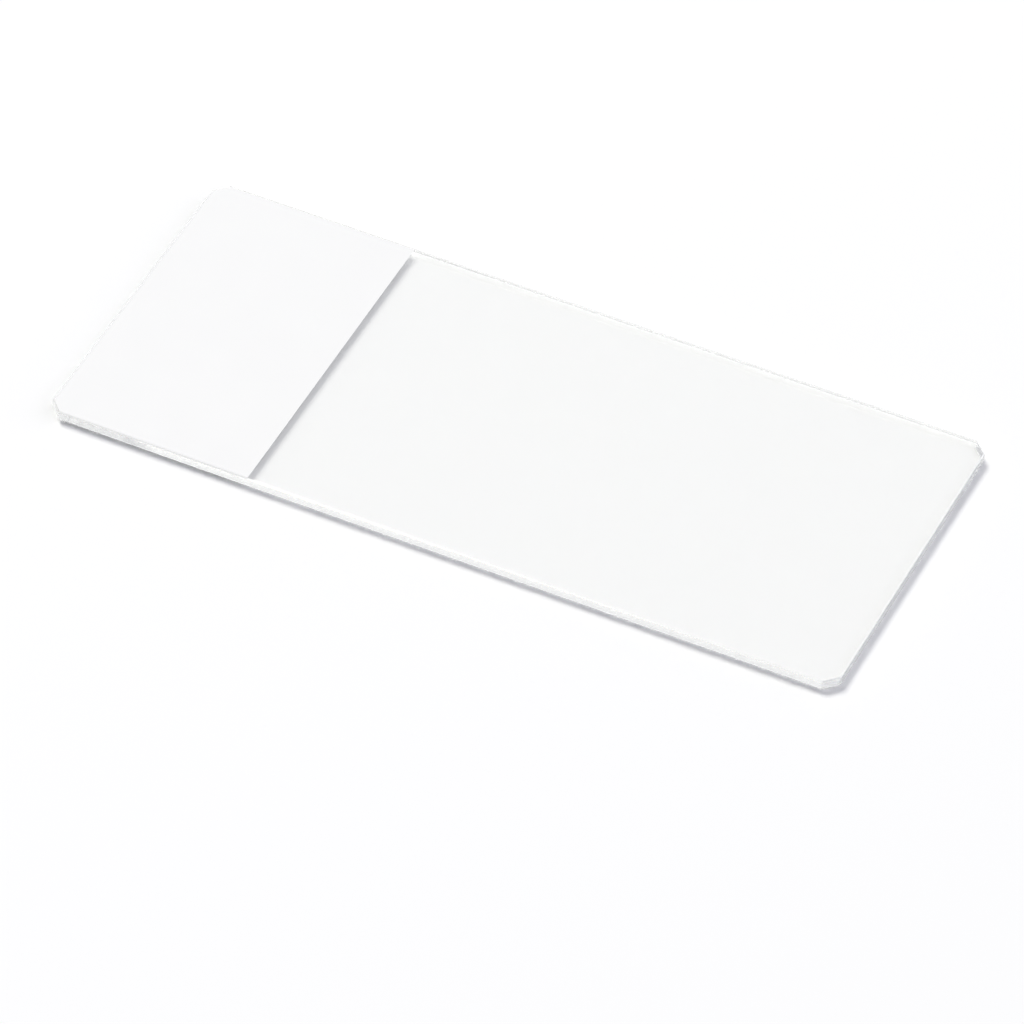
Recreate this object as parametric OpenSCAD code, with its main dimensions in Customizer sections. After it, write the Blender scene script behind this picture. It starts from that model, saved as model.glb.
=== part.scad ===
// Microscope slide: one clear glass plate with ground edges and clipped corners,
// and the white marking coat that is printed over one end of its top face.
// Millimetres, +Z up. The origin is the middle of the underside, and +X runs
// from the marking end towards the clear end.

/* [Glass plate] */
// Length of the plate from end to end
plate_l = 75; // [50:0.5:110]
// Width of the plate from long edge to long edge
plate_w = 32; // [20:0.5:60]
// Thickness of the glass
plate_t = 1.15; // [0.9:0.05:3]

/* [Ground edges] */
// Leg of the 45 degree clip at each upright corner
corner_clip = 1.2; // [0.6:0.05:4]
// Leg of the 45 degree bevel round the top face
top_bevel = 0.1; // [0.05:0.01:0.35]
// Leg of the 45 degree bevel round the underside
foot_bevel = 0.27; // [0.05:0.01:0.45]

/* [Marking coat] */
// Length of the marking end, from the plate's end to the coat's inner edge
mark_l = 19.6; // [8:0.1:40]
// Thickness of the white coat on the glass
coat_t = 0.03; // [0.02:0.005:0.2]
// How far the coat stays back from the rim of the top face
coat_margin = 0.05; // [0.01:0.01:1]

/* [Hidden] */
// What a cutting block reaches past the glass, so that no faces coincide
spare = 1;
// Distance between two opposite corner clips, measured across the clips
diagonal_w = (plate_l + plate_w - 2 * corner_clip) / sqrt(2);

// Section through the plate at a right angle to an edge, w wide, with the
// bevels of both arrises
module section(w) {
    half = w / 2;
    polygon([
        [-half + foot_bevel, 0],
        [half - foot_bevel, 0],
        [half, foot_bevel],
        [half, plate_t - top_bevel],
        [half - top_bevel, plate_t],
        [-half + top_bevel, plate_t],
        [-half, plate_t - top_bevel],
        [-half, foot_bevel],
    ]);
}

// Bar of that section, w wide along X and run long along Y
module bar(w, run) {
    rotate([90, 0, 0])
        linear_extrude(height = run, center = true)
            section(w);
}

// Outline of the plate's top face, inside its bevels and set in by margin
module top_face_outline(margin) {
    inset = top_bevel + margin;
    x = plate_l / 2 - inset;
    y = plate_w / 2 - inset;
    // A 45 degree side set in by inset meets its straight neighbours this far along
    cut = corner_clip + inset * (sqrt(2) - 2);
    polygon([
        [-x + cut, -y],
        [x - cut, -y],
        [x, -y + cut],
        [x, y - cut],
        [x - cut, y],
        [-x + cut, y],
        [-x, y - cut],
        [-x, -y + cut],
    ]);
}

module glass_plate() {
    reach = plate_l + plate_w + 2 * spare;
    color([0.93, 0.96, 0.96, 0.55])
        intersection() {
            bar(plate_l, reach);
            rotate([0, 0, 90]) bar(plate_w, reach);
            rotate([0, 0, 45]) bar(diagonal_w, reach);
            rotate([0, 0, -45]) bar(diagonal_w, reach);
        }
}

module marking_coat() {
    inner_edge_x = -plate_l / 2 + mark_l;
    color([0.96, 0.96, 0.96])
        translate([0, 0, plate_t])
            linear_extrude(height = coat_t)
                intersection() {
                    top_face_outline(coat_margin);
                    translate([inner_edge_x - plate_l, -plate_w])
                        square([plate_l, 2 * plate_w]);
                }
}

glass_plate();
marking_coat();
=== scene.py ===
"""Microscope slide on a white table. Metres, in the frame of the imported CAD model."""
import math

import bmesh
import bpy
from mathutils import Matrix, Vector

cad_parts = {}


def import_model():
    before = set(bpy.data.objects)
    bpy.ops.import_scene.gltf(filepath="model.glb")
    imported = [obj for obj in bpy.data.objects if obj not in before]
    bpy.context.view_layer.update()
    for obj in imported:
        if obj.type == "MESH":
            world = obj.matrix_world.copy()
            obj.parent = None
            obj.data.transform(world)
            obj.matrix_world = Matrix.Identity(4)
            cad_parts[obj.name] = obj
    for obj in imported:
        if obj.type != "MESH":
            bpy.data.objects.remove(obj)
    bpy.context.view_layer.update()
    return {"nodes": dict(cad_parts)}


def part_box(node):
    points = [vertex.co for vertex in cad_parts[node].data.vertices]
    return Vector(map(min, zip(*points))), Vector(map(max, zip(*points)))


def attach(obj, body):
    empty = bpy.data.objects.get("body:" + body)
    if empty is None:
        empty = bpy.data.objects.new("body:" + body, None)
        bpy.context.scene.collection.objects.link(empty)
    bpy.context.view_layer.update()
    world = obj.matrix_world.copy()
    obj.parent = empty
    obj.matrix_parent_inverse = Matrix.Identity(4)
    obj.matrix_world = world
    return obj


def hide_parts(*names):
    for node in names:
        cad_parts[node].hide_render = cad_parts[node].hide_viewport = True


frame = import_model()

MM = 0.001
WHITE = (1, 1, 1, 1)

# Camera: where it looks from, how far off, and the offset of its aim to the right and up
CAMERA_AZIMUTH = 26.289
CAMERA_ELEVATION = 45.287
CAMERA_DISTANCE = 0.68776
CAMERA_RIGHT = -0.445 * MM
CAMERA_UP = -6.606 * MM
SENSOR = 36
FOCAL_IN_WIDTHS = 7.78125
CLIP_START, CLIP_END = 0.01, 20

# Light, as shares of what falls on the floor
WORLD_LIGHT = 0.234
WORLD_COLOUR = (0.906, 0.909, 1.0)
FILL_LIGHT = 1.065
FILL_DIR = (0.85, 0.35, 0.35)
FILL_FROM = 0.3
KEY_SHARE = 0.643
KEY_COLOUR = (1.0, 0.998, 0.942)
KEY_DIR = (-0.52, 0.34, 1.0)
KEY_SPREAD = 0.5
LAMP_DISTANCE = 4.0
# A ray that has met a dull surface sees the lit world, and any other ray sees the backdrop
LIT_DEPTH = 0.5

# A surface faces up past the first of these, and counts as a flat face between the next two
FACES_UP = 0.3
FLAT_FROM, FLAT_TO = 0.95, 0.99
# Middle part of the noise's range, which is stretched to the full one
NOISE_LOW, NOISE_HIGH = 0.3, 0.7

# Glass
GLASS = (0.957, 0.960, 0.954)
GLASS_IOR = 1.52
EDGE_ROUGHNESS = 0.15
FACE_ROUGHNESS = 0.012
BEVEL_CLEAR = 0.2
FACE_PASS = 0.935
ABSORB = (0.75, 0.76, 0.78)
DENSITY = 9.0
# Painted light: the front top bevel and the coat's lip get this shaded normal, turned up so they are lit as
# brightly as the faces beside them; the front bevel is the one whose normal points to the front past the
# second value
LIGHT_CATCH_NORMAL = (0, -0.3, 0.95)
LIT_BEVEL_FACING = -0.6
LIT_EDGE = 0.02
GRIND = 0.05 * MM
GRIND_DETAIL = 3
GRIND_SPREAD = 0.15
GRIND_RELIEF = 0.1
GRIND_DEPTH = 0.001 * MM
SMEAR = 4.0 * MM
SMEAR_DETAIL = 4
SMEAR_FROM, SMEAR_TO = 0.45, 0.75

# White coat
COAT = 0.86
COAT_CLOUD = 0.006
COAT_ROUGHNESS = (0.54, 0.66)
# Painted light: the lip's tone is raised above the coat's to make up for the shade on its slope
LIP_LIT_TONE = 0.99
COAT_PASS = 0.33
COAT_SHIFT = -0.05 * MM
AIR_GAP = 0.003 * MM
LAP = 0.098 * MM
LAP_GAP = 0.005 * MM
PRINT_GRAIN = 0.12 * MM
PRINT_GRAIN_DETAIL = 4
PRINT_RELIEF = 0.12
PRINT_DEPTH = 0.004 * MM
PRINT_CLOUD = 2.5 * MM
PRINT_CLOUD_DETAIL = 3
SAME_EDGE = 0.001 * MM
RIM_BLUR = 0.01 * MM

FLOOR = 0.95
FLOOR_SIZE = 6
FLOOR_DROP = 0.02 * MM
BOUNCES = 200
DIFFUSE_BOUNCES = 8

plate_low, plate_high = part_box("glass_plate")
coat_low, coat_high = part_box("marking_coat")

# ---------------------------------------------------------------- materials


def new_material(name):
    material = bpy.data.materials.new(name)
    material.use_nodes = True
    nodes = material.node_tree.nodes
    return material, nodes, material.node_tree.links, nodes["Principled BSDF"]


def map_range(nodes, links, source, from_min, from_max, to_min, to_max):
    node = nodes.new("ShaderNodeMapRange")
    limits = {"From Min": from_min, "From Max": from_max, "To Min": to_min, "To Max": to_max}
    for name, value in limits.items():
        node.inputs[name].default_value = value
    links.new(source, node.inputs["Value"])
    return node.outputs["Result"]


def math_node(nodes, links, operation, *sources):
    node = nodes.new("ShaderNodeMath")
    node.operation = operation
    for place, source in zip(node.inputs, sources):
        if isinstance(source, (int, float)):
            place.default_value = source
        else:
            links.new(source, place)
    return node.outputs[0]


def mix_colour(nodes, links, share, first, second):
    """Colour that goes from first to second with the share."""
    node = nodes.new("ShaderNodeMix")
    node.data_type = "RGBA"
    links.new(share, node.inputs[0])
    for place, colour in ((node.inputs[6], first), (node.inputs[7], second)):
        if isinstance(colour, tuple):
            place.default_value = colour
        else:
            links.new(colour, place)
    return node.outputs[2]


def grey(level):
    return (level, level, level, 1)


def noise(nodes, links, grain, detail):
    """Noise with features of the size grain, laid in the part's own space."""
    place = nodes.new("ShaderNodeTexCoord")
    node = nodes.new("ShaderNodeTexNoise")
    node.inputs["Scale"].default_value = 1 / grain
    node.inputs["Detail"].default_value = detail
    links.new(place.outputs["Object"], node.inputs["Vector"])
    return node.outputs[0]


def relief(nodes, links, shader, height, strength, distance):
    node = nodes.new("ShaderNodeBump")
    node.inputs["Distance"].default_value = distance
    links.new(height, node.inputs["Height"])
    if isinstance(strength, (int, float)):
        node.inputs["Strength"].default_value = strength
    else:
        links.new(strength, node.inputs["Strength"])
    links.new(node.outputs[0], shader.inputs["Normal"])
    return node


def turn_normal_to_light(nodes, links, bump, geometry, share):
    """Turns the shaded normal up over the share of the surface, so that it catches light as a flatter face
    would: painted light, not a real rounding.
    """
    rounded = nodes.new("ShaderNodeMix")
    rounded.data_type = "VECTOR"
    links.new(share, rounded.inputs[0])
    links.new(geometry.outputs["Normal"], rounded.inputs[4])
    rounded.inputs[5].default_value = Vector(LIGHT_CATCH_NORMAL).normalized()
    links.new(rounded.outputs[1], bump.inputs["Normal"])


def shadow_pass(nodes, links, shader, share):
    """Lets the share of a lamp's light through, without bending it."""
    light_path = nodes.new("ShaderNodeLightPath")
    clear = nodes.new("ShaderNodeBsdfTransparent")
    links.new(share, clear.inputs["Color"])
    mix = nodes.new("ShaderNodeMixShader")
    links.new(light_path.outputs["Is Shadow Ray"], mix.inputs["Fac"])
    links.new(shader.outputs[0], mix.inputs[1])
    links.new(clear.outputs[0], mix.inputs[2])
    links.new(mix.outputs[0], nodes["Material Output"].inputs["Surface"])


def glass_material():
    material, nodes, links, shader = new_material("clear_glass")
    shader.inputs["Base Color"].default_value = (*GLASS, 1)
    shader.inputs["IOR"].default_value = GLASS_IOR
    absorb = nodes.new("ShaderNodeVolumeAbsorption")
    absorb.inputs["Color"].default_value = (*ABSORB, 1)
    absorb.inputs["Density"].default_value = DENSITY
    links.new(absorb.outputs[0], nodes["Material Output"].inputs["Volume"])

    # The normal that points out of the glass, also where a ray leaves it
    geometry = nodes.new("ShaderNodeNewGeometry")
    outward = nodes.new("ShaderNodeVectorMath")
    outward.operation = "SCALE"
    links.new(geometry.outputs["True Normal"], outward.inputs[0])
    links.new(map_range(nodes, links, geometry.outputs["Backfacing"], 0, 1, 1, -1), outward.inputs["Scale"])
    parts = nodes.new("ShaderNodeSeparateXYZ")
    links.new(outward.outputs[0], parts.inputs[0])
    up = parts.outputs["Z"]
    edge = map_range(nodes, links, math_node(nodes, links, "ABSOLUTE", up), FLAT_FROM, FLAT_TO, 1, 0)
    face = math_node(nodes, links, "SUBTRACT", 1, edge)

    # Polished faces with a faint smear, finely ground edges
    grind = noise(nodes, links, GRIND, GRIND_DETAIL)
    ground = math_node(nodes, links, "MULTIPLY", edge, map_range(
        nodes, links, grind, NOISE_LOW, NOISE_HIGH,
        (1 - GRIND_SPREAD) * EDGE_ROUGHNESS, (1 + GRIND_SPREAD) * EDGE_ROUGHNESS))
    smear = math_node(nodes, links, "MULTIPLY", face, map_range(
        nodes, links, noise(nodes, links, SMEAR, SMEAR_DETAIL), SMEAR_FROM, SMEAR_TO, 0, FACE_ROUGHNESS))
    links.new(math_node(nodes, links, "ADD", ground, smear), shader.inputs["Roughness"])
    grain = relief(nodes, links, shader, grind,
                   math_node(nodes, links, "MULTIPLY", edge, GRIND_RELIEF), GRIND_DEPTH)

    # The bevels round the top face are ground white
    top_bevel = math_node(nodes, links, "MULTIPLY",
                          math_node(nodes, links, "GREATER_THAN", up, FACES_UP), edge)
    across = parts.outputs["Y"]
    ground_and_painted_white = math_node(nodes, links, "MULTIPLY", top_bevel, 1 - BEVEL_CLEAR)

    # Painted light: the front top bevel alone is made fully white and its shaded normal is turned up, so it
    # is lit as brightly as the front face
    front = math_node(nodes, links, "SUBTRACT", math_node(nodes, links, "LESS_THAN", across, LIT_BEVEL_FACING),
                      geometry.outputs["Backfacing"])
    front_bevel_lit = math_node(nodes, links, "MULTIPLY", math_node(nodes, links, "MAXIMUM", front, 0), top_bevel)
    ground_and_painted_white = math_node(nodes, links, "ADD", ground_and_painted_white, math_node(nodes, links, "MULTIPLY", front_bevel_lit, BEVEL_CLEAR))
    links.new(math_node(nodes, links, "SUBTRACT", 1, ground_and_painted_white), shader.inputs["Transmission Weight"])
    turn_normal_to_light(nodes, links, grain, geometry, front_bevel_lit)

    # Lamp light goes through the faces and in at the edges on the lamp's side, but not out at the others
    side = nodes.new("ShaderNodeVectorMath")
    side.operation = "DOT_PRODUCT"
    links.new(outward.outputs[0], side.inputs[0])
    side.inputs[1].default_value = (KEY_DIR[0], KEY_DIR[1], 0)
    lit = map_range(nodes, links, side.outputs["Value"], -LIT_EDGE, LIT_EDGE, 0, 1)
    shadow_pass(nodes, links, shader, math_node(
        nodes, links, "MULTIPLY", math_node(nodes, links, "MAXIMUM", lit, face),
        map_range(nodes, links, edge, 0, 1, FACE_PASS, 1)))
    return material


def coat_material():
    material, nodes, links, shader = new_material("white_coat")
    # Printed enamel: faint clouds in tone and gloss, and a fine grain
    cloud = noise(nodes, links, PRINT_CLOUD, PRINT_CLOUD_DETAIL)
    tone = mix_colour(nodes, links, map_range(nodes, links, cloud, NOISE_LOW, NOISE_HIGH, 0, 1),
                      grey((1 - COAT_CLOUD) * COAT), grey((1 + COAT_CLOUD) * COAT))
    links.new(map_range(nodes, links, cloud, NOISE_LOW, NOISE_HIGH, *COAT_ROUGHNESS),
              shader.inputs["Roughness"])
    grain = relief(nodes, links, shader, noise(nodes, links, PRINT_GRAIN, PRINT_GRAIN_DETAIL),
                   PRINT_RELIEF, PRINT_DEPTH)

    # Where it laps over the front bevel it is thicker; its shaded normal is turned up and its tone raised
    # above the coat's, painted light that keeps the lip as bright as the face
    geometry = nodes.new("ShaderNodeNewGeometry")
    facing = nodes.new("ShaderNodeSeparateXYZ")
    links.new(geometry.outputs["True Normal"], facing.inputs[0])
    lip = math_node(nodes, links, "MULTIPLY",
                    math_node(nodes, links, "GREATER_THAN", facing.outputs["Z"], FACES_UP),
                    math_node(nodes, links, "LESS_THAN", facing.outputs["Z"], FLAT_FROM))
    turn_normal_to_light(nodes, links, grain, geometry, lip)
    links.new(mix_colour(nodes, links, lip, tone, grey(LIP_LIT_TONE)), shader.inputs["Base Color"])

    # Light bends in the glass, so the coat's shadow is shorter than a straight ray makes it
    slope = math.hypot(KEY_DIR[0], KEY_DIR[1]) / KEY_DIR[2]
    bent = math.tan(math.asin(math.sin(math.atan(slope)) / GLASS_IOR))
    short = (slope - bent) * -KEY_DIR[0] / slope / KEY_DIR[2] * (plate_high.z - plate_low.z)
    rim = coat_high.x - short
    parts = nodes.new("ShaderNodeSeparateXYZ")
    links.new(geometry.outputs["Position"], parts.inputs[0])
    shadow_pass(nodes, links, shader, map_range(
        nodes, links, parts.outputs["X"], rim - RIM_BLUR, rim + RIM_BLUR, COAT_PASS, 1))
    return material


def dress(node, material):
    mesh = frame["nodes"][node].data
    mesh.materials.clear()
    mesh.materials.append(material)


def lap_over_front(mesh):
    """Lip of the coat that runs down over the front bevel."""
    bm = bmesh.new()
    bm.from_mesh(mesh)
    front = min(v.co.y for v in bm.verts)
    ends = [v.co.x for v in bm.verts if v.co.y < front + SAME_EDGE]
    foot = plate_high.z + LAP_GAP
    section = ((front, coat_high.z), (front - LAP, foot - LAP), (front, foot))
    first, last = ([bm.verts.new((x, y, z)) for y, z in section] for x in (min(ends), max(ends)))
    bm.faces.new(first)
    bm.faces.new(last)
    for i in range(3):
        j = (i + 1) % 3
        bm.faces.new((first[i], first[j], last[j], last[i]))
    bmesh.ops.recalc_face_normals(bm, faces=bm.faces)
    bm.to_mesh(mesh)
    bm.free()


def coat():
    """The printed coat: a hair of air under it, and set a little towards the front as prints are."""
    source = frame["nodes"]["marking_coat"]
    mesh = source.data.copy()
    piece = bpy.data.objects.new("marking_coat_skin", mesh)
    bpy.context.scene.collection.objects.link(piece)
    middle = (coat_low.z + coat_high.z) / 2
    for v in mesh.vertices:
        if v.co.z < middle:
            v.co.z = coat_low.z + AIR_GAP
        v.co.y += COAT_SHIFT
    lap_over_front(mesh)
    mesh.materials.clear()
    mesh.materials.append(coat_material())
    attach(piece, "root")
    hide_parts("marking_coat")


# ---------------------------------------------------------------- stage


def floor():
    bpy.ops.mesh.primitive_plane_add(size=FLOOR_SIZE, location=(0, 0, -FLOOR_DROP))
    plane = bpy.context.object
    plane.name = "floor"
    material, nodes, links, shader = new_material("floor")
    shader.inputs["Base Color"].default_value = grey(FLOOR)
    shader.inputs["Roughness"].default_value = 1.0
    shader.inputs["Specular IOR Level"].default_value = 0.0
    plane.data.materials.append(material)


def lobe(nodes, links, place, direction, start, end, low, high):
    """Light that rises from low to high as the ray nears the direction."""
    dot = nodes.new("ShaderNodeVectorMath")
    dot.operation = "DOT_PRODUCT"
    links.new(place, dot.inputs[0])
    dot.inputs[1].default_value = Vector(direction).normalized()
    return map_range(nodes, links, dot.outputs["Value"], start, end, low, high)


def world():
    """White backdrop, also in what the glass shows and mirrors, and a plain level for what is lit."""
    scene_world = bpy.data.worlds.new("world")
    bpy.context.scene.world = scene_world
    scene_world.use_nodes = True
    nodes = scene_world.node_tree.nodes
    links = scene_world.node_tree.links
    background = nodes["Background"]
    path = nodes.new("ShaderNodeLightPath")
    place = nodes.new("ShaderNodeTexCoord").outputs["Generated"]
    lights = math_node(nodes, links, "GREATER_THAN", path.outputs["Diffuse Depth"], LIT_DEPTH)

    links.new(mix_colour(nodes, links, lights, WHITE, (*WORLD_COLOUR, 1)), background.inputs["Color"])
    shown = math_node(nodes, links, "MAXIMUM", path.outputs["Is Camera Ray"], math_node(
        nodes, links, "MAXIMUM", path.outputs["Is Glossy Ray"], path.outputs["Is Transmission Ray"]))
    level = nodes.new("ShaderNodeMix")
    links.new(math_node(nodes, links, "MULTIPLY", shown, math_node(nodes, links, "SUBTRACT", 1, lights)),
              level.inputs["Factor"])
    links.new(lobe(nodes, links, place, FILL_DIR, FILL_FROM, 1, WORLD_LIGHT, WORLD_LIGHT + FILL_LIGHT),
              level.inputs["A"])
    level.inputs["B"].default_value = 1.0
    links.new(level.outputs["Result"], background.inputs["Strength"])
    scene_world.cycles.sampling_method = "NONE"


def lamp(name, direction, spread, share):
    """Far round lamp that gives the share of full light on the floor."""
    data = bpy.data.lights.new(name, "AREA")
    data.shape = "DISK"
    data.size = spread * LAMP_DISTANCE
    data.color = KEY_COLOUR
    towards = Vector(direction).normalized()
    # an area lamp of P watts gives P / (pi d^2) straight ahead, and white needs pi on the floor
    data.energy = share * math.pi ** 2 * LAMP_DISTANCE ** 2 / towards.z
    data.cycles.use_multiple_importance_sampling = False
    obj = bpy.data.objects.new(name, data)
    bpy.context.scene.collection.objects.link(obj)
    obj.location = towards * LAMP_DISTANCE
    obj.rotation_mode = "QUATERNION"
    obj.rotation_quaternion = towards.to_track_quat("Z", "Y")


def camera():
    data = bpy.data.cameras.new("camera")
    data.sensor_width = SENSOR
    data.lens = FOCAL_IN_WIDTHS * SENSOR
    data.clip_start = CLIP_START
    data.clip_end = CLIP_END
    az, el = math.radians(CAMERA_AZIMUTH), math.radians(CAMERA_ELEVATION)
    back = Vector((math.sin(az) * math.cos(el), -math.cos(az) * math.cos(el), math.sin(el)))
    right = Vector((math.cos(az), math.sin(az), 0))
    up = back.cross(right)
    cam = bpy.data.objects.new("camera", data)
    bpy.context.scene.collection.objects.link(cam)
    cam.rotation_mode = "QUATERNION"
    cam.matrix_world = Matrix((right, up, back)).transposed().to_4x4()
    cam.location = back * CAMERA_DISTANCE + right * CAMERA_RIGHT + up * CAMERA_UP
    bpy.context.scene.camera = cam


dress("glass_plate", glass_material())
coat()
floor()
world()
lamp("key", KEY_DIR, KEY_SPREAD, KEY_SHARE)
camera()
scene = bpy.context.scene
scene.view_settings.view_transform = "Standard"
scene.cycles.max_bounces = BOUNCES
scene.cycles.transmission_bounces = BOUNCES
scene.cycles.glossy_bounces = BOUNCES
scene.cycles.diffuse_bounces = DIFFUSE_BOUNCES
scene.cycles.blur_glossy = 0.0
